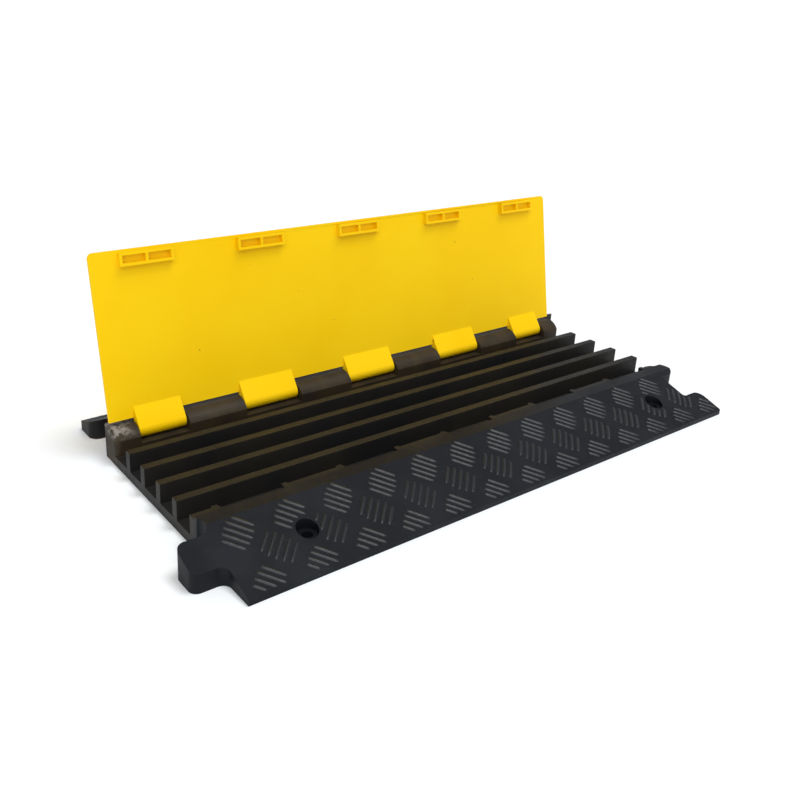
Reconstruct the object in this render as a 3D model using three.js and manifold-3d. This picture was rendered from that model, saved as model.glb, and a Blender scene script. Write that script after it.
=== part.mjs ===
// Floor cord cover: a rubber ramp with five cord channels and a hinged plastic lid.
// Millimetres, +Z up, origin at the middle of the base on the floor.
// X runs along the channels, -Y is the ramp in front of the lid's free edge, +Y the hinge side.

import * as THREE from 'three';
import { mergeVertices } from 'three/addons/utils/BufferGeometryUtils.js';
import Module from 'manifold-3d';

const wasm = await Module();
wasm.setup();

// Module and section
const MODULE_LENGTH = 900;
const CHANNEL_COUNT = 5;
const CHANNEL_WIDTH = 35;
const RIB_THICKNESS = 12;
const RIB_HEIGHT = 41;
const FLOOR_THICKNESS = 14;
const RAMP_DEPTH = 138.5;
const TOE_HEIGHT = 7;
const REAR_TOE_HEIGHT = 13.5;
const LEDGE_WIDTH = 13;
const CREST_WIDTH = 20.5;
const HINGE_BLOCK_WIDTH = 39;
const CURL_LENGTH = 20.5;
const SHOULDER_DROP = 4;
const CURL_REACH = 7;
const CURL_RISE = 10.5;

// Ramp ends, which hook into the next module
const TAB_REACH = 42;
const TAB_START = 48.5;
const TAB_WIDTH = 44;
const TAB_CORNER = 11;
const NOTCH_CLEARANCE = 2;
const NOTCH_CORNER = 6;
const TIP_CORNER = 14.5;
const TOE_CORNER = 4;
const LOBE_CORNER = 19;
const LOBE_ROUNDING = 24;
const REAR_LOBE_CORNER = 8;
const SCALLOP_RADIUS = 16.5;
const SCALLOP_BITE = 4.5;

// Bolt holes through the ramps
const BOLT_SPACING = 676;
const BOLT_INSET = 56;
const BOLT_HOLE_RADIUS = 7;
const COUNTERBORE_RADIUS = 14.5;
const COUNTERBORE_FLOOR = 19;

// Lid
const LID_THICKNESS = 4;
const LID_END_GAP = 2.5;
const LID_EDGE_GAP = 2.2;
const LID_HINGE_EDGE = 2.5;
const LID_CORNER = 8;
const LID_LEAN = 10.9;

// Latch blocks under the lid and the notches that take them
const LATCH_COUNT = 5;
const END_LATCH_INSET = 83.4;
const LATCH_LENGTH = 80;
const LATCH_WIDTH = 19;
const LATCH_HEIGHT = 8;
const LATCH_WALL = 4;
const LATCH_SKIN = 0.5;
const LEDGE_NOTCH_DEPTH = 7.5;
const LATCH_END_GAP = 4.5;
const LATCH_GAP = 0.5;
const GUIDE_LENGTH = 8;
const GUIDE_REACH = 4;
const GUIDE_OFFSET = 1;
const GUIDE_DROP = 0.5;

// Hinge
const AXIS_SETBACK = 20;
const AXIS_DROP = 2.5;
const ROD_RADIUS = 4;
const ROD_INSET = 12;
const KNUCKLE_RADIUS = 11.5;
const KNUCKLE_WIDTH = 94;
const END_KNUCKLE_WIDTH = 71.5;
const KNUCKLE_PITCH = 195;
const END_KNUCKLE_INSET = 75;
const KNUCKLE_SIDE_GAP = 2;
const PAD_RISE = 16;

// Clearances
const SEAT_GAP = 0.3;
const ROD_GAP = 0.3;
const SWING_GAP = 0.8;
const OVERSHOOT = 2;

// Segments of a quarter turn
const QUARTER = 6;

// Worked out from the sizes above
const CHANNELS_WIDTH = CHANNEL_COUNT * CHANNEL_WIDTH + (CHANNEL_COUNT - 1) * RIB_THICKNESS;
const MODULE_WIDTH = CHANNELS_WIDTH + 2 * RAMP_DEPTH;
const HALF_LENGTH = MODULE_LENGTH / 2;
const HALF_WIDTH = MODULE_WIDTH / 2;
const CHANNELS_FRONT = -CHANNELS_WIDTH / 2;
const HINGE_FACE = CHANNELS_WIDTH / 2;
const LID_UNDERSIDE = RIB_HEIGHT + SEAT_GAP;
const CREST_HEIGHT = LID_UNDERSIDE + LID_THICKNESS;
const AXIS_Y = HINGE_FACE + AXIS_SETBACK;
const AXIS_Z = RIB_HEIGHT - AXIS_DROP;
const HINGE_HEIGHT = AXIS_Z + KNUCKLE_RADIUS;
const SWING = THREE.MathUtils.degToRad(90 + LID_LEAN);
const LEAN = THREE.MathUtils.degToRad(LID_LEAN);

// Turns a closed three.js geometry into a solid for joining and cutting.
function solid(geometry) {
  const bare = geometry.clone();
  bare.deleteAttribute('normal');
  bare.deleteAttribute('uv');
  const merged = mergeVertices(bare, 1e-4);
  const mesh = new wasm.Mesh({
    numProp: 3,
    vertProperties: new Float32Array(merged.attributes.position.array),
    triVerts: new Uint32Array(merged.index.array),
  });
  return new wasm.Manifold(mesh);
}

// Turns a solid back into a three.js geometry.
function geometryOf(body) {
  const mesh = body.getMesh();
  const geometry = new THREE.BufferGeometry();
  geometry.setAttribute('position', new THREE.BufferAttribute(mesh.vertProperties, 3));
  geometry.setIndex(new THREE.BufferAttribute(mesh.triVerts, 1));
  geometry.computeVertexNormals();
  return geometry;
}

function block(x0, x1, y0, y1, z0, z1) {
  const box = new THREE.BoxGeometry(x1 - x0, y1 - y0, z1 - z0);
  box.translate((x0 + x1) / 2, (y0 + y1) / 2, (z0 + z1) / 2);
  return solid(box);
}

// A cylinder along X between two ends, centred on (y, z).
function barAlongX(radius, x0, x1, y, z) {
  const bar = new THREE.CylinderGeometry(radius, radius, x1 - x0, 4 * QUARTER);
  bar.rotateZ(Math.PI / 2);
  bar.translate((x0 + x1) / 2, y, z);
  return solid(bar);
}

function upright(radius, x, y, z0, z1) {
  const bar = new THREE.CylinderGeometry(radius, radius, z1 - z0, 4 * QUARTER);
  bar.rotateX(Math.PI / 2);
  bar.translate(x, y, (z0 + z1) / 2);
  return solid(bar);
}

// Extrudes a shape drawn in (y, z) along X from x0 to x1.
function prismAlongX(shape, x0, x1) {
  const prism = new THREE.ExtrudeGeometry(shape, {
    depth: x1 - x0,
    bevelEnabled: false,
    curveSegments: QUARTER,
  });
  prism.rotateY(Math.PI / 2);
  prism.rotateX(Math.PI / 2);
  prism.translate(x0, 0, 0);
  return solid(prism);
}

// Extrudes a shape drawn in (x, y) upwards from z0 to z1.
function prismUp(shape, z0, z1) {
  const prism = new THREE.ExtrudeGeometry(shape, {
    depth: z1 - z0,
    bevelEnabled: false,
    curveSegments: QUARTER,
  });
  prism.translate(0, 0, z0);
  return solid(prism);
}

// The cross-section of the base: ramp, ledge, channels, hinge block and ramp.
function sectionShape() {
  const section = new THREE.Shape();
  section.moveTo(-HALF_WIDTH, 0);
  section.lineTo(HALF_WIDTH, 0);
  section.lineTo(HALF_WIDTH, REAR_TOE_HEIGHT);
  section.lineTo(HINGE_FACE + HINGE_BLOCK_WIDTH, HINGE_HEIGHT);
  section.lineTo(HINGE_FACE + CURL_LENGTH, HINGE_HEIGHT);
  const shoulder = RIB_HEIGHT - SHOULDER_DROP;
  section.quadraticCurveTo(HINGE_FACE + CURL_REACH, shoulder + CURL_RISE, HINGE_FACE, shoulder);
  section.lineTo(HINGE_FACE, FLOOR_THICKNESS);
  for (let rib = 1; rib < CHANNEL_COUNT; rib += 1) {
    const back = HINGE_FACE - rib * CHANNEL_WIDTH - (rib - 1) * RIB_THICKNESS;
    section.lineTo(back, FLOOR_THICKNESS);
    section.lineTo(back, RIB_HEIGHT);
    section.lineTo(back - RIB_THICKNESS, RIB_HEIGHT);
    section.lineTo(back - RIB_THICKNESS, FLOOR_THICKNESS);
  }
  section.lineTo(CHANNELS_FRONT, FLOOR_THICKNESS);
  section.lineTo(CHANNELS_FRONT, RIB_HEIGHT);
  section.lineTo(CHANNELS_FRONT - LEDGE_WIDTH, RIB_HEIGHT);
  section.lineTo(CHANNELS_FRONT - LEDGE_WIDTH, CREST_HEIGHT);
  section.lineTo(CHANNELS_FRONT - LEDGE_WIDTH - CREST_WIDTH, CREST_HEIGHT);
  section.lineTo(-HALF_WIDTH, TOE_HEIGHT);
  return section;
}

// The left end of the front ramp in plan, from the channels to the toe: a scallop, then the tab.
function leftEndPath() {
  const end = -HALF_LENGTH;
  const toe = -HALF_WIDTH;
  const tabRear = toe + TAB_START + TAB_WIDTH;
  const scallopX = end + SCALLOP_BITE - SCALLOP_RADIUS;
  const scallopY = tabRear + SCALLOP_RADIUS;
  const halfMouth = Math.sqrt(SCALLOP_RADIUS ** 2 - (SCALLOP_RADIUS - SCALLOP_BITE) ** 2);
  const mouth = Math.atan2(halfMouth, SCALLOP_RADIUS - SCALLOP_BITE);
  const path = new THREE.Path();
  path.moveTo(end, CHANNELS_FRONT);
  path.lineTo(end, scallopY + halfMouth);
  path.absarc(scallopX, scallopY, SCALLOP_RADIUS, mouth, -Math.PI / 2, true);
  const cornerX = end - TAB_REACH + TAB_CORNER;
  path.absarc(cornerX, tabRear - TAB_CORNER, TAB_CORNER, Math.PI / 2, Math.PI, false);
  const tabFront = toe + TAB_START;
  path.absarc(cornerX, tabFront + TAB_CORNER, TAB_CORNER, Math.PI, 1.5 * Math.PI, false);
  path.absarc(end - TAB_CORNER, tabFront - TAB_CORNER, TAB_CORNER, Math.PI / 2, 0, true);
  path.lineTo(end, toe);
  return path;
}

// The right end of the front ramp in plan, from the toe to the channels: tip, notch and lobe.
function rightEndPath(lobeCorner) {
  const end = HALF_LENGTH;
  const toe = -HALF_WIDTH;
  const notchFront = toe + TAB_START - NOTCH_CLEARANCE;
  const notchRear = toe + TAB_START + TAB_WIDTH + NOTCH_CLEARANCE;
  const notchEnd = end - TAB_REACH + NOTCH_CLEARANCE;
  const path = new THREE.Path();
  path.moveTo(end - TOE_CORNER, toe);
  path.absarc(end - TOE_CORNER, toe + TOE_CORNER, TOE_CORNER, -Math.PI / 2, 0, false);
  path.absarc(end - TIP_CORNER, notchFront - TIP_CORNER, TIP_CORNER, 0, Math.PI / 2, false);
  const cornerX = notchEnd + NOTCH_CORNER;
  path.absarc(cornerX, notchFront + NOTCH_CORNER, NOTCH_CORNER, -Math.PI / 2, -Math.PI, true);
  path.absarc(cornerX, notchRear - NOTCH_CORNER, NOTCH_CORNER, Math.PI, Math.PI / 2, true);
  path.absarc(end - lobeCorner, notchRear + lobeCorner, lobeCorner, -Math.PI / 2, 0, false);
  path.lineTo(end, CHANNELS_FRONT);
  return path;
}

// Points in plan, turned half a turn about the middle of the base.
function turned(points) {
  return points.map((point) => new THREE.Vector2(-point.x, -point.y));
}

// One ramp in plan, from the left end's channel side round the toe to the right end's.
function rampPoints(lobeCorner) {
  return [...leftEndPath().getPoints(QUARTER), ...rightEndPath(lobeCorner).getPoints(QUARTER)];
}

// The whole outline in plan. The rear ramp is the front one turned half a turn, with a tighter lobe.
function planShape() {
  return new THREE.Shape([...rampPoints(LOBE_CORNER), ...turned(rampPoints(REAR_LOBE_CORNER))]);
}

// What is cut away to round the channel side of the front ramp's lobe, in plan.
function lobeRounding(radius) {
  const x = HALF_LENGTH - radius;
  const y = CHANNELS_FRONT - radius;
  const path = new THREE.Path();
  path.moveTo(x, CHANNELS_FRONT);
  path.absarc(x, y, radius, Math.PI / 2, 0, true);
  path.lineTo(HALF_LENGTH + OVERSHOOT, y);
  path.lineTo(HALF_LENGTH + OVERSHOOT, CHANNELS_FRONT + OVERSHOOT);
  path.lineTo(x, CHANNELS_FRONT + OVERSHOOT);
  return path.getPoints(QUARTER);
}

// The latches' places along X, evenly pitched, with the outer two set in from the module's ends.
function latchPlaces() {
  const pitches = LATCH_COUNT - 1;
  const pitch = 2 * (HALF_LENGTH - END_LATCH_INSET) / pitches;
  return Array.from({ length: LATCH_COUNT }, (_, i) => (i - pitches / 2) * pitch);
}

// The lid's knuckles: the two end ones are shorter and stand at the lid's ends.
function knuckleSpans() {
  const endCentre = HALF_LENGTH - END_KNUCKLE_INSET;
  return [
    { centre: -endCentre, width: END_KNUCKLE_WIDTH },
    { centre: -KNUCKLE_PITCH, width: KNUCKLE_WIDTH },
    { centre: 0, width: KNUCKLE_WIDTH },
    { centre: KNUCKLE_PITCH, width: KNUCKLE_WIDTH },
    { centre: endCentre, width: END_KNUCKLE_WIDTH },
  ].map(({ centre, width }) => ({ x0: centre - width / 2, x1: centre + width / 2 }));
}

// Where the outer face of the leaning lid stands at height z, as the rear wall of a slot needs it.
function lidBackAt(z) {
  const behind = LID_UNDERSIDE + LID_THICKNESS - AXIS_Z;
  return AXIS_Y + behind / Math.cos(LEAN) + (z - AXIS_Z) * Math.tan(LEAN);
}

// The slot that one knuckle turns in, open to the front and to the top.
function knuckleSlot({ x0, x1 }) {
  const left = x0 - KNUCKLE_SIDE_GAP;
  const right = x1 + KNUCKLE_SIDE_GAP;
  const top = HINGE_HEIGHT + OVERSHOOT;
  const radius = KNUCKLE_RADIUS + SWING_GAP;
  const rear = lidBackAt(HINGE_HEIGHT) + SEAT_GAP;
  return barAlongX(radius, left, right, AXIS_Y, AXIS_Z)
    .add(block(left, right, HINGE_FACE - OVERSHOOT, AXIS_Y, AXIS_Z - radius, top))
    .add(block(left, right, AXIS_Y - OVERSHOOT, rear, AXIS_Z, top));
}

function rodBore() {
  const start = -HALF_LENGTH + ROD_INSET;
  return barAlongX(ROD_RADIUS + ROD_GAP, start, HALF_LENGTH + OVERSHOOT, AXIS_Y, AXIS_Z);
}

// A counterbored bolt hole, upright through the ramp.
function boltHole(x, y) {
  const through = upright(BOLT_HOLE_RADIUS, x, y, -OVERSHOOT, HINGE_HEIGHT);
  return through.add(upright(COUNTERBORE_RADIUS, x, y, COUNTERBORE_FLOOR, HINGE_HEIGHT));
}

// The notch in the ledge that one latch block drops into.
function ledgeNotch(x) {
  const half = LATCH_LENGTH / 2 + LATCH_END_GAP;
  const floor = LID_UNDERSIDE - LATCH_HEIGHT - LATCH_GAP;
  const front = CHANNELS_FRONT - LEDGE_NOTCH_DEPTH;
  return block(x - half, x + half, front, CHANNELS_FRONT + OVERSHOOT, floor, RIB_HEIGHT + OVERSHOOT);
}

// The two upright guides on the channel's wall, one beside each end of a notch.
function notchGuides(x) {
  const near = LATCH_LENGTH / 2 + LATCH_END_GAP + GUIDE_OFFSET;
  const far = near + GUIDE_LENGTH;
  const front = CHANNELS_FRONT - OVERSHOOT;
  const rear = CHANNELS_FRONT + GUIDE_REACH;
  const bottom = FLOOR_THICKNESS - OVERSHOOT;
  const top = RIB_HEIGHT - GUIDE_DROP;
  return block(x - far, x - near, front, rear, bottom, top)
    .add(block(x + near, x + far, front, rear, bottom, top));
}

function baseSolid() {
  const reach = HALF_LENGTH + TAB_REACH + OVERSHOOT;
  let body = prismAlongX(sectionShape(), -reach, reach);
  const top = HINGE_HEIGHT + OVERSHOOT;
  body = body.intersect(prismUp(planShape(), -OVERSHOOT, top));
  for (const points of [lobeRounding(LOBE_ROUNDING), turned(lobeRounding(REAR_LOBE_CORNER))]) {
    body = body.subtract(prismUp(new THREE.Shape(points), FLOOR_THICKNESS, top));
  }
  for (const span of knuckleSpans()) {
    body = body.subtract(knuckleSlot(span));
  }
  for (const x of latchPlaces()) {
    body = body.add(notchGuides(x)).subtract(ledgeNotch(x));
  }
  for (const x of [-BOLT_SPACING / 2, BOLT_SPACING / 2]) {
    const y = HALF_WIDTH - BOLT_INSET;
    body = body.subtract(boltHole(x, -y)).subtract(boltHole(x, y));
  }
  return body.subtract(rodBore());
}

// The lid is drawn closed, with the hinge axis at its origin, its free edge towards -Y.
const INNER_FACE = LID_UNDERSIDE - AXIS_Z;
const OUTER_FACE = INNER_FACE + LID_THICKNESS;
const FREE_EDGE = CHANNELS_FRONT - LEDGE_WIDTH + LID_EDGE_GAP - AXIS_Y;
const HINGE_EDGE = HINGE_FACE + LID_HINGE_EDGE - AXIS_Y;

function lidPlate() {
  const half = HALF_LENGTH - LID_END_GAP;
  const plan = new THREE.Shape();
  plan.moveTo(half, HINGE_EDGE);
  plan.lineTo(-half, HINGE_EDGE);
  plan.absarc(-half + LID_CORNER, FREE_EDGE + LID_CORNER, LID_CORNER, Math.PI, 1.5 * Math.PI, false);
  plan.absarc(half - LID_CORNER, FREE_EDGE + LID_CORNER, LID_CORNER, 1.5 * Math.PI, 2 * Math.PI, false);
  return prismUp(plan, INNER_FACE, OUTER_FACE);
}

// A knuckle with the pad that carries it on the lid's inner face.
function knuckle({ x0, x1 }) {
  const padReach = HINGE_EDGE - PAD_RISE;
  const reach = Math.hypot(padReach, INNER_FACE);
  const touch = Math.atan2(INNER_FACE, padReach) + Math.acos(KNUCKLE_RADIUS / reach);
  const profile = new THREE.Shape();
  profile.moveTo(0, OUTER_FACE);
  profile.lineTo(HINGE_EDGE - OVERSHOOT, OUTER_FACE);
  profile.lineTo(HINGE_EDGE - OVERSHOOT, INNER_FACE + OVERSHOOT);
  profile.lineTo(padReach, INNER_FACE + OVERSHOOT);
  profile.lineTo(padReach, INNER_FACE);
  profile.lineTo(KNUCKLE_RADIUS * Math.cos(touch), KNUCKLE_RADIUS * Math.sin(touch));
  profile.lineTo(0, 0);
  return prismAlongX(profile, x0, x1).add(barAlongX(KNUCKLE_RADIUS, x0, x1, 0, 0));
}

// A latch block: a low frame with two pockets that open towards the channels.
function latchBlock(x) {
  const front = CHANNELS_FRONT - LEDGE_NOTCH_DEPTH + LATCH_GAP - AXIS_Y;
  const rear = front + LATCH_WIDTH;
  const bottom = INNER_FACE - LATCH_HEIGHT;
  const half = LATCH_LENGTH / 2;
  let body = block(x - half, x + half, front, rear, bottom, INNER_FACE + OVERSHOOT);
  for (const side of [-1, 1]) {
    const near = x + side * LATCH_WALL / 2;
    const far = x + side * (half - LATCH_WALL);
    const pocket = block(
      Math.min(near, far),
      Math.max(near, far),
      front + LATCH_WALL,
      rear - LATCH_WALL,
      bottom - OVERSHOOT,
      INNER_FACE - LATCH_SKIN,
    );
    body = body.subtract(pocket);
  }
  return body;
}

function lidSolid() {
  let body = lidPlate();
  for (const span of knuckleSpans()) {
    body = body.add(knuckle(span));
  }
  for (const x of latchPlaces()) {
    body = body.add(latchBlock(x));
  }
  const bore = barAlongX(ROD_RADIUS + ROD_GAP, -HALF_LENGTH, HALF_LENGTH, 0, 0);
  return body.subtract(bore);
}

function rodSolid() {
  const start = -HALF_LENGTH + ROD_INSET + ROD_GAP;
  const end = HALF_LENGTH - ROD_INSET;
  return barAlongX(ROD_RADIUS, start, end, AXIS_Y, AXIS_Z);
}

function piece(name, body, material) {
  const mesh = new THREE.Mesh(geometryOf(body), new THREE.MeshStandardMaterial(material));
  mesh.name = name;
  return mesh;
}

const cover = new THREE.Group();
cover.add(piece('base', baseSolid(), { color: 0x26272b, roughness: 0.7, metalness: 0 }));
cover.add(piece('hinge_rod', rodSolid(), { color: 0xb9bcc0, roughness: 0.35, metalness: 1 }));

const lid = piece('lid', lidSolid(), { color: 0xf2c010, roughness: 0.5, metalness: 0 });
lid.position.set(0, AXIS_Y, AXIS_Z);
lid.rotation.x = -SWING;
cover.add(lid);

export default cover;
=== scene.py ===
"""Floor cord cover with its lid open: finish, tread relief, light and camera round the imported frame.

Metres, in the part's own frame: X along the channels, -Y the ramp in front, +Y the hinge side, Z up.
"""

import math

import bmesh
import bpy
from mathutils import Matrix, Vector


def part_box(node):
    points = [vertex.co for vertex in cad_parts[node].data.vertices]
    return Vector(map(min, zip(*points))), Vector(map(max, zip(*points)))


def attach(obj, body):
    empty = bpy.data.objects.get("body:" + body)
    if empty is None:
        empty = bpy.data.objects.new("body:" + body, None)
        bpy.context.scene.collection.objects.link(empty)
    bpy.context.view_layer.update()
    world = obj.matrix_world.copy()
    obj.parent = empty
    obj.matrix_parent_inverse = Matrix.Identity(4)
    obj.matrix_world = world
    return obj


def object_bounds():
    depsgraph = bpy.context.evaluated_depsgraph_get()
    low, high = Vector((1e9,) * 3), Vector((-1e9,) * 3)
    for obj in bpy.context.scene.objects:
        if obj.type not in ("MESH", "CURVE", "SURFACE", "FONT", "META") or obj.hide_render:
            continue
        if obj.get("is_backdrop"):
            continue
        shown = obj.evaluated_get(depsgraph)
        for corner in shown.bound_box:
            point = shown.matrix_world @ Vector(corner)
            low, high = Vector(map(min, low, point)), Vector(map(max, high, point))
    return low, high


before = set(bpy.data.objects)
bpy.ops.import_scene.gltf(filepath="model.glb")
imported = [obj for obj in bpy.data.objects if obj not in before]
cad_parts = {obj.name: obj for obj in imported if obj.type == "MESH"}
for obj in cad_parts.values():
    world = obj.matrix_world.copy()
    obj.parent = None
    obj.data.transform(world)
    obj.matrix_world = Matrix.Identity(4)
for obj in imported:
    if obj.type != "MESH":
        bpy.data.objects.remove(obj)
cad_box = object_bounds()
MM = 0.001

# Sizes of the base that the finish follows. The notch is in a ramp's end, measured from its toe
HALF_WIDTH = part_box("base")[1].y
HALF_LENGTH = 450 * MM
CHANNELS_HALF = 111.5 * MM
LEDGE_WIDTH = 13 * MM
CREST_WIDTH = 20.5 * MM
HINGE_BLOCK_WIDTH = 39 * MM
FRONT_TOE, FRONT_CREST = 7 * MM, 45.3 * MM
REAR_TOE, REAR_CREST = 13.5 * MM, 50 * MM
FRONT_DEPTH = HALF_WIDTH - CHANNELS_HALF - LEDGE_WIDTH - CREST_WIDTH
REAR_DEPTH = HALF_WIDTH - CHANNELS_HALF - HINGE_BLOCK_WIDTH
BOLT_X = 338 * MM
BOLT_INSET = 56 * MM
COUNTERBORE_RADIUS = 14.5 * MM
NOTCH_DEPTH = 40 * MM
NOTCH_FRONT, NOTCH_REAR = 46.5 * MM, 95.5 * MM

# Edges of the frame's nodes: flatter ones are dissolved, sharper ones rounded
FLAT_ANGLE = math.radians(0.5)
EDGE_ANGLE = math.radians(32)
EDGE_SEGMENTS = 2
BASE_EDGE, LID_EDGE, ROD_EDGE = 1 * MM, 0.8 * MM, 0.4 * MM

# Tread: rows of groups of five bars, in plan, measured from the left end and from the toe
GROUP_PITCH = 70.7 * MM
FIRST_GROUP = 32.5 * MM
UPPER_ROW, UPPER_GROUPS = 81.4 * MM, 12
MIDDLE_ROW, MIDDLE_GROUPS = 47 * MM, 12
LOWER_ROW, LOWER_GROUPS = 9.6 * MM, 13

# Bars: END_WIDTH is the share of the width that is left at the ends, CROWN and END_POWER shape the height
BAR_PITCH = 8.9 * MM
BAR_LENGTHS = [length * MM for length in (31, 36, 37.5, 36, 31)]
BAR_WIDTH = 5.4 * MM
BAR_HEIGHT = 1.1 * MM
BAR_SINK = 0.3 * MM
BAR_CROWN = 1.3
BAR_END_POWER = 5
BAR_END_WIDTH = 0.35
BAR_STATIONS = 10
BAR_STRIPS = 8

# Plain margins that cut bars off, the steps in which a bar is tested, and the fewest that a cut bar keeps
TOE_MARGIN = 3.5 * MM
CREST_MARGIN = 1 * MM
END_MARGIN = 3 * MM
HOLE_MARGIN = 2.5 * MM
BAR_STEPS = 40
SHORTEST_BAR_STEPS = 13

# Soft edges of dust, painted reflection of the yellow lid and wear on the rubber, each from where it begins
# to where it is full
CHANNEL_DUST_AND_REFLECTION_FRONT = (-CHANNELS_HALF - LEDGE_WIDTH - 1 * MM, -CHANNELS_HALF - LEDGE_WIDTH + 1 * MM)
CHANNEL_DUST_AND_REFLECTION_REAR = (CHANNELS_HALF + 2 * MM, CHANNELS_HALF - 2 * MM)
HINGE_DUST_AND_REFLECTION_FRONT = (CHANNELS_HALF - 3 * MM, CHANNELS_HALF + 1 * MM)
HINGE_DUST_AND_REFLECTION_REAR = (CHANNELS_HALF + 40 * MM, CHANNELS_HALF + 25 * MM)
REAR_RAMP_DUST_AND_REFLECTION = 0.25
WORN_ALONG = (-HALF_LENGTH + 36 * MM, -HALF_LENGTH + 12 * MM)
WORN_ACROSS = (CHANNELS_HALF - 1 * MM, CHANNELS_HALF + 3 * MM)
WORN_UP = (36 * MM, 46 * MM)

# Colours, linear. A pair is the darker and the lighter one of a surface
CHARCOAL = ((0.0045, 0.0055, 0.008), (0.0085, 0.0098, 0.0135))
# Brown of dust in the channels, and a painted reflection of the yellow lid on the ledge and the rib tops
CHANNEL_DUST_AND_LID_REFLECTION = (0.020, 0.017, 0.013)
# Brown of dust on the hinge block, and a painted reflection of the yellow lid in its black knuckles
HINGE_DUST_AND_LID_REFLECTION = (0.046, 0.031, 0.014)
SCUFF = (0.050, 0.052, 0.058)
WORN_CORNER = (0.24, 0.21, 0.19)
BAR_RUBBER = ((0.004, 0.0045, 0.006), (0.009, 0.010, 0.013))
YELLOW = ((0.91, 0.55, 0.001), (0.93, 0.585, 0.004))
FLECK = (0.35, 0.20, 0.02)
STEEL = ((0.45, 0.44, 0.42), (0.72, 0.72, 0.71))
PALE_FLOOR = ((0.94, 0.94, 0.94), (0.95, 0.95, 0.95))
SUN_TINT = (0.95, 0.98, 1.0)
SKY_TINT = (0.96, 0.98, 1.0)

# Floor: a flat disc whose rim curves up in rings
FLOOR_RADIUS = 3.0
FLOOR_SIDES = 64
RIM_RINGS = 8
RIM_STEP = 1.5
RIM_CURVE = 0.03


def material(name):
    """A new node material: its node tree and its surface shader."""
    made = bpy.data.materials.new(name)
    made.use_nodes = True
    return made, made.node_tree, made.node_tree.nodes["Principled BSDF"]


def position(tree):
    """Where a point is in the part's frame."""
    return tree.nodes.new("ShaderNodeTexCoord").outputs["Object"]


def coordinates(tree, where):
    """A position's X, Y and Z."""
    split = tree.nodes.new("ShaderNodeSeparateXYZ")
    tree.links.new(where, split.inputs["Vector"])
    return split.outputs["X"], split.outputs["Y"], split.outputs["Z"]


def noise(tree, where, scale, detail=4.0, roughness=0.55):
    """Cloudy values round 0.5, with about scale lumps a metre."""
    node = tree.nodes.new("ShaderNodeTexNoise")
    node.inputs["Scale"].default_value = scale
    node.inputs["Detail"].default_value = detail
    node.inputs["Roughness"].default_value = roughness
    tree.links.new(where, node.inputs["Vector"])
    return node.outputs["Fac"]


def ramp(tree, value, low, high, out_low=0.0, out_high=1.0):
    """A value carried softly from one range to another, held at both ends."""
    node = tree.nodes.new("ShaderNodeMapRange")
    node.interpolation_type = "SMOOTHSTEP"
    for name, number in (("From Min", low), ("From Max", high), ("To Min", out_low), ("To Max", out_high)):
        node.inputs[name].default_value = number
    tree.links.new(value, node.inputs["Value"])
    return node.outputs["Result"]


def times(tree, a, b):
    """The product of two values."""
    node = tree.nodes.new("ShaderNodeMath")
    node.operation = "MULTIPLY"
    tree.links.new(a, node.inputs[0])
    tree.links.new(b, node.inputs[1])
    return node.outputs["Value"]


def mixed(tree, factor, a, b):
    """Two colours mixed. Each is a colour value or the output of another node."""
    node = tree.nodes.new("ShaderNodeMix")
    node.data_type = "RGBA"
    tree.links.new(factor, node.inputs["Factor"])
    for name, colour in (("A", a), ("B", b)):
        socket = next(s for s in node.inputs if s.name == name and s.type == "RGBA")
        if isinstance(colour, tuple):
            socket.default_value = (*colour, 1)
        else:
            tree.links.new(colour, socket)
    return next(s for s in node.outputs if s.type == "RGBA")


def bump(tree, shader, layers):
    """Stacks height layers of (height, strength, distance) onto the shader's normal."""
    below = None
    for height, strength, distance in layers:
        node = tree.nodes.new("ShaderNodeBump")
        node.inputs["Strength"].default_value = strength
        node.inputs["Distance"].default_value = distance
        tree.links.new(height, node.inputs["Height"])
        if below is not None:
            tree.links.new(below, node.inputs["Normal"])
        below = node.outputs["Normal"]
    tree.links.new(below, shader.inputs["Normal"])


def channel_dust_and_lid_reflection(tree, where, y):
    """How much dust and painted reflection of the yellow lid lie on the ledge, the ribs and in the channels.
    """
    inside = times(tree, ramp(tree, y, *CHANNEL_DUST_AND_REFLECTION_FRONT), ramp(tree, y, *CHANNEL_DUST_AND_REFLECTION_REAR))
    return times(tree, inside, ramp(tree, noise(tree, where, 9), 0.3, 0.75, out_low=0.35))


def hinge_dust_and_lid_reflection(tree, where, y):
    """How much dust and painted reflection of the yellow lid lie on the hinge block and its knuckles, with a
    little on the rear ramp.
    """
    inside = times(
        tree,
        ramp(tree, y, *HINGE_DUST_AND_REFLECTION_FRONT),
        ramp(tree, y, *HINGE_DUST_AND_REFLECTION_REAR, out_low=REAR_RAMP_DUST_AND_REFLECTION),
    )
    return times(tree, inside, ramp(tree, noise(tree, where, 25, 3), 0.3, 0.7, 0.45, 0.95))


def corner_wear(tree, where, x, y, z):
    """How far the top of the hinge block's left end is worn pale, in patches."""
    across_and_up = times(tree, ramp(tree, y, *WORN_ACROSS), ramp(tree, z, *WORN_UP))
    corner = times(tree, ramp(tree, x, *WORN_ALONG), across_and_up)
    return times(tree, corner, ramp(tree, noise(tree, where, 110, 5, 0.65), 0.42, 0.6))


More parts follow.
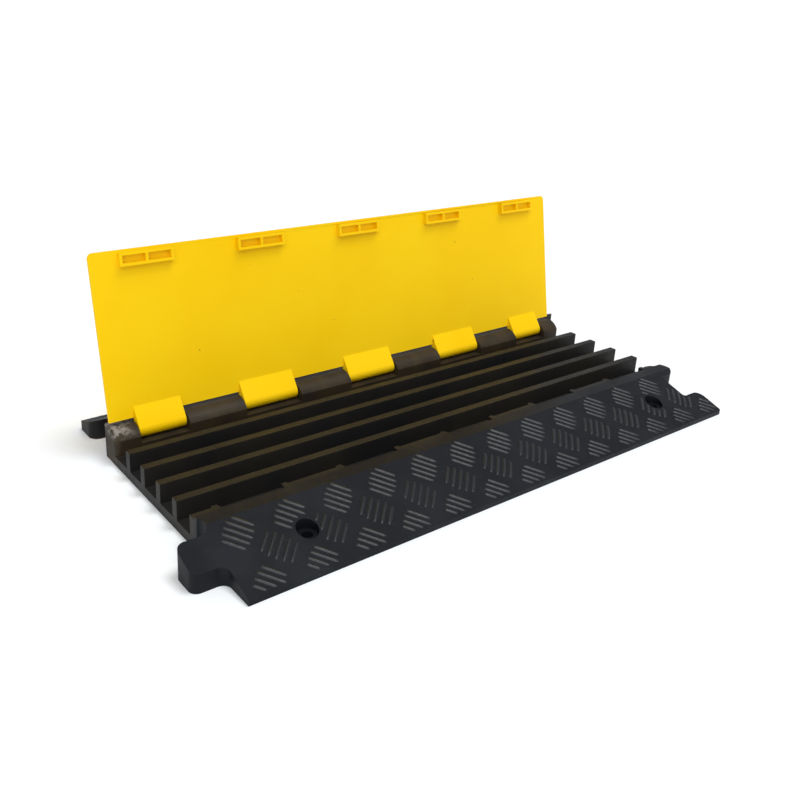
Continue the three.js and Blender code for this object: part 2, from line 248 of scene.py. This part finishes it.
def rubber_material():
    """Charcoal rubber with a fine grain, dust with a painted reflection of the yellow lid, small scuffs and
    one worn corner.
    """
    made, tree, shader = material("ramp_rubber")
    where = position(tree)
    x, y, z = coordinates(tree, where)
    cloud = noise(tree, where, 14)
    scuff = ramp(tree, noise(tree, where, 160, 6, 0.7), 0.58, 0.78)
    clean = mixed(tree, ramp(tree, cloud, 0.35, 0.7), *CHARCOAL)
    # Dust, and a painted brown reflection of the yellow lid, on the ledge, the ribs, the channels and the
    # hinge block
    dust_and_lid_reflection = mixed(tree, channel_dust_and_lid_reflection(tree, where, y), clean, CHANNEL_DUST_AND_LID_REFLECTION)
    dust_and_lid_reflection = mixed(tree, hinge_dust_and_lid_reflection(tree, where, y), dust_and_lid_reflection, HINGE_DUST_AND_LID_REFLECTION)
    scuffed = mixed(tree, ramp(tree, scuff, 0.0, 1.0, out_high=0.3), dust_and_lid_reflection, SCUFF)
    colour = mixed(tree, corner_wear(tree, where, x, y, z), scuffed, WORN_CORNER)
    tree.links.new(colour, shader.inputs["Base Color"])
    tree.links.new(ramp(tree, cloud, 0.3, 0.7, 0.55, 0.45), shader.inputs["Roughness"])
    shader.inputs["Specular IOR Level"].default_value = 0.15
    grain = noise(tree, where, 900, 2)
    swell = noise(tree, where, 60)
    bump(tree, shader, [(grain, 0.25, 0.4 * MM), (swell, 0.3, 1 * MM)])
    return made


def tread_material():
    """The same rubber, rubbed smoother on the raised bars."""
    made, tree, shader = material("tread_rubber")
    where = position(tree)
    rubbed = noise(tree, where, 220, 4, 0.6)
    tree.links.new(mixed(tree, ramp(tree, rubbed, 0.35, 0.75), *BAR_RUBBER), shader.inputs["Base Color"])
    tree.links.new(ramp(tree, rubbed, 0.3, 0.7, 0.46, 0.38), shader.inputs["Roughness"])
    shader.inputs["Specular IOR Level"].default_value = 0.45
    bump(tree, shader, [(noise(tree, where, 500, 3), 0.15, 0.3 * MM)])
    return made


def lid_material():
    """Satin yellow plastic with a fine moulded grain and a few dark flecks."""
    made, tree, shader = material("lid_plastic")
    where = position(tree)
    cloud = noise(tree, where, 7, 3)
    fleck = ramp(tree, noise(tree, where, 55, 2, 0.5), 0.76, 0.78)
    yellow = mixed(tree, ramp(tree, cloud, 0.3, 0.7), *YELLOW)
    colour = mixed(tree, ramp(tree, fleck, 0.0, 1.0, out_high=0.6), yellow, FLECK)
    tree.links.new(colour, shader.inputs["Base Color"])
    tree.links.new(ramp(tree, cloud, 0.3, 0.7, 0.42, 0.52), shader.inputs["Roughness"])
    shader.inputs["Specular IOR Level"].default_value = 0.08
    grain = noise(tree, where, 700, 2)
    swell = noise(tree, where, 30)
    bump(tree, shader, [(grain, 0.12, 0.3 * MM), (swell, 0.15, 0.6 * MM)])
    return made


def rod_material():
    """Steel with fine lines along the rod, as drawing leaves them."""
    made, tree, shader = material("rod_steel")
    stretch = tree.nodes.new("ShaderNodeMapping")
    stretch.inputs["Scale"].default_value = (4, 900, 900)
    tree.links.new(position(tree), stretch.inputs["Vector"])
    drawn = noise(tree, stretch.outputs["Vector"], 1.0, 3)
    tree.links.new(mixed(tree, drawn, *STEEL), shader.inputs["Base Color"])
    tree.links.new(ramp(tree, drawn, 0.2, 0.8, 0.28, 0.45), shader.inputs["Roughness"])
    shader.inputs["Metallic"].default_value = 1.0
    bump(tree, shader, [(drawn, 0.15, 0.2 * MM)])
    return made


def dress(name, finish, edge):
    """Gives a node of the frame its finish and softly rounded edges."""
    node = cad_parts[name]
    for held in node.material_slots:
        held.link = "OBJECT"
        held.material = finish
    planes = node.modifiers.new("planes", "DECIMATE")
    planes.decimate_type = "DISSOLVE"
    planes.angle_limit = FLAT_ANGLE
    rounded = node.modifiers.new("rounded", "BEVEL")
    rounded.width = edge
    rounded.segments = EDGE_SEGMENTS
    rounded.limit_method = "ANGLE"
    rounded.angle_limit = EDGE_ANGLE
    even = node.modifiers.new("even", "WEIGHTED_NORMAL")
    even.keep_sharp = True


def on_tread(x, y, depth):
    """Whether the tread reaches a point of a ramp, in plan, from its left end and its toe."""
    length = 2 * HALF_LENGTH
    if y < TOE_MARGIN or y > depth - CREST_MARGIN or x > length - END_MARGIN:
        return False
    beside_notch = NOTCH_FRONT - END_MARGIN < y < NOTCH_REAR + END_MARGIN
    if beside_notch and x > length - NOTCH_DEPTH - END_MARGIN:
        return False
    clear = COUNTERBORE_RADIUS + HOLE_MARGIN
    holes = (HALF_LENGTH - BOLT_X, HALF_LENGTH + BOLT_X)
    return all(math.hypot(x - hole, y - BOLT_INSET) > clear for hole in holes)


def longest_run(points, depth):
    """The longest unbroken part of a line of points that the tread reaches."""
    runs = [[]]
    for point in points:
        if on_tread(point.x, point.y, depth):
            runs[-1].append(point)
        elif runs[-1]:
            runs.append([])
    return max(runs, key=len)


def group_bars(centre, slant, depth):
    """The two ends in plan of every bar of a group. slant is the sign of the bars' slope in plan."""
    along = Vector((1, slant)).normalized()
    across = Vector((1, -slant)).normalized()
    for i, length in enumerate(BAR_LENGTHS):
        middle = centre + across * BAR_PITCH * (i - len(BAR_LENGTHS) // 2)
        steps = [middle + along * length * (k / BAR_STEPS - 0.5) for k in range(BAR_STEPS + 1)]
        run = longest_run(steps, depth)
        if len(run) > SHORTEST_BAR_STEPS:
            yield run[0], run[-1]


def tread_bars(depth):
    """The two ends in plan of every bar on a ramp of this depth, drawn as the front ramp."""
    rows = (
        (UPPER_ROW, 0.0, UPPER_GROUPS, -1),
        (LOWER_ROW, 0.0, LOWER_GROUPS, -1),
        (MIDDLE_ROW, GROUP_PITCH / 2, MIDDLE_GROUPS, 1),
    )
    for row_y, shift, groups, slant in rows:
        for group in range(groups):
            centre = Vector((FIRST_GROUP + shift + group * GROUP_PITCH, row_y))
            yield from group_bars(centre, slant, depth)


def add_bar(mesh, start, end, lift):
    """One low bar with sloping flanks that fades into the ramp at both ends."""
    along = (end - start).normalized()
    across = Vector((-along.y, along.x))
    length = (end - start).length
    rings = []
    for i in range(BAR_STATIONS + 1):
        t = 0.5 - 0.5 * math.cos(math.pi * i / BAR_STATIONS)
        fade = math.sqrt(max(0.0, 1 - abs(2 * t - 1) ** BAR_END_POWER))
        width = BAR_WIDTH / 2 * (BAR_END_WIDTH + (1 - BAR_END_WIDTH) * fade)
        height = BAR_HEIGHT * fade
        middle = start + along * length * t
        ring = []
        for k in range(BAR_STRIPS + 1):
            aside = 1 - 2 * k / BAR_STRIPS
            flat = middle + across * width * aside
            ring.append(mesh.verts.new(lift(flat, height * (1 - abs(aside) ** BAR_CROWN))))
        ring.append(mesh.verts.new(lift(middle + across * -width, -BAR_SINK)))
        ring.append(mesh.verts.new(lift(middle + across * width, -BAR_SINK)))
        rings.append(ring)
    size = len(rings[0])
    for near, far in zip(rings, rings[1:]):
        for k in range(size):
            mesh.faces.new((near[k], near[(k + 1) % size], far[(k + 1) % size], far[k]))
    mesh.faces.new(rings[0][::-1])
    mesh.faces.new(rings[-1])


def tread(name, finish, toe, crest, depth, turned):
    """All bars of one ramp in one mesh. The rear ramp's are drawn as the front's, then turned half a turn."""
    slope = (crest - toe) / depth
    normal = Vector((0, -slope, 1)).normalized()

    def lift(flat, height):
        """A point of the plan, at a height over the ramp's face."""
        on_ramp = Vector((flat.x - HALF_LENGTH, flat.y - HALF_WIDTH, toe + slope * flat.y))
        return on_ramp + normal * height

    mesh = bmesh.new()
    for start, end in tread_bars(depth):
        add_bar(mesh, start, end, lift)
    if turned:
        bmesh.ops.rotate(mesh, matrix=Matrix.Rotation(math.pi, 3, "Z"), verts=mesh.verts)
    bmesh.ops.recalc_face_normals(mesh, faces=mesh.faces)
    for face in mesh.faces:
        face.smooth = True
    data = bpy.data.meshes.new(name)
    mesh.to_mesh(data)
    mesh.free()
    data.materials.append(finish)
    made = bpy.data.objects.new(name, data)
    bpy.context.scene.collection.objects.link(made)
    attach(made, "base_body")


def floor_material():
    """Matt pale floor with a faint unevenness of tone."""
    made, tree, shader = material("pale_floor")
    tone = mixed(tree, noise(tree, position(tree), 3), *PALE_FLOOR)
    tree.links.new(tone, shader.inputs["Base Color"])
    shader.inputs["Roughness"].default_value = 0.9
    shader.inputs["Specular IOR Level"].default_value = 0.1
    return made


def floor():
    """The floor: one flat disc, and rings of faces that curve up round it."""
    outward = [k * RIM_STEP for k in range(RIM_RINGS + 1)]
    rings = [(FLOOR_RADIUS + past, RIM_CURVE * past**2) for past in outward]
    turns = [math.tau * i / FLOOR_SIDES for i in range(FLOOR_SIDES)]
    points = [
        (radius * math.cos(turn), radius * math.sin(turn), height)
        for radius, height in rings
        for turn in turns
    ]
    faces = [tuple(range(FLOOR_SIDES))]
    for ring in range(RIM_RINGS):
        near, far = ring * FLOOR_SIDES, (ring + 1) * FLOOR_SIDES
        for i in range(FLOOR_SIDES):
            after = (i + 1) % FLOOR_SIDES
            faces.append((near + i, far + i, far + after, near + after))
    data = bpy.data.meshes.new("floor")
    data.from_pydata(points, [], faces)
    data.materials.append(floor_material())
    for face in data.polygons:
        face.use_smooth = face.index > 0
    ground = bpy.data.objects.new("floor", data)
    bpy.context.scene.collection.objects.link(ground)
    ground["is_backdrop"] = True


def sun(name, towards, strength, spread):
    """A soft distant light. towards is the direction from the object to the light."""
    data = bpy.data.lights.new(name, "SUN")
    data.energy = strength
    data.color = SUN_TINT
    data.angle = math.radians(spread)
    lamp = bpy.data.objects.new(name, data)
    lamp.rotation_mode = "QUATERNION"
    lamp.rotation_quaternion = Vector(towards).to_track_quat("Z", "Y")
    bpy.context.scene.collection.objects.link(lamp)


def light():
    """An even pale sky, a soft light from the front left and one from above that catches the bars."""
    world = bpy.data.worlds.new("studio")
    world.use_nodes = True
    sky = world.node_tree.nodes["Background"]
    sky.inputs["Color"].default_value = (*SKY_TINT, 1)
    sky.inputs["Strength"].default_value = 0.36
    bpy.context.scene.world = world
    sun("key", towards=(-0.45, -0.62, 0.75), strength=1.3, spread=40)
    sun("overhead", towards=(0.25, -0.19, 0.94), strength=1.6, spread=26)


def camera():
    """The camera fitted to the photograph. Its lens axis is off the centre, as in a cropped picture."""
    azimuth = math.radians(-37.72)
    elevation = math.radians(19.76)
    roll = math.radians(2.53)
    target = Vector((150.28, 350.21, 25.0)) * MM
    distance = 1723.08 * MM
    picture = 800
    focal_pixels = 873.85
    centre_x = 361.43
    centre_y = 324.72
    back = Vector(
        (
            math.sin(azimuth) * math.cos(elevation),
            -math.cos(azimuth) * math.cos(elevation),
            math.sin(elevation),
        )
    )
    right = (-back).cross(Vector((0, 0, 1))).normalized()
    up = right.cross(-back)
    rolled_right = right * math.cos(roll) + up * math.sin(roll)
    rolled_up = up * math.cos(roll) - right * math.sin(roll)
    data = bpy.data.cameras.new("camera")
    data.sensor_width = 36
    data.lens = focal_pixels * data.sensor_width / picture
    data.shift_x = (picture / 2 - centre_x) / picture
    data.shift_y = (centre_y - picture / 2) / picture
    made = bpy.data.objects.new("camera", data)
    turn = Matrix((rolled_right, rolled_up, back)).transposed().to_4x4()
    made.matrix_world = Matrix.Translation(target + back * distance) @ turn
    bpy.context.scene.collection.objects.link(made)
    bpy.context.scene.camera = made


def write_sizes():
    """The frame's box and the dressed model's box, as plain numbers."""
    boxes = {"cad": cad_box, "visual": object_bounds()}
    plain = {name: [list(low), list(high)] for name, (low, high) in boxes.items()}


dress("base", rubber_material(), BASE_EDGE)
dress("lid", lid_material(), LID_EDGE)
dress("hinge_rod", rod_material(), ROD_EDGE)
bar_finish = tread_material()
tread("tread_front", bar_finish, FRONT_TOE, FRONT_CREST, FRONT_DEPTH, turned=False)
tread("tread_rear", bar_finish, REAR_TOE, REAR_CREST, REAR_DEPTH, turned=True)
floor()
light()
camera()
bpy.context.scene.view_settings.view_transform = "Standard"
write_sizes()
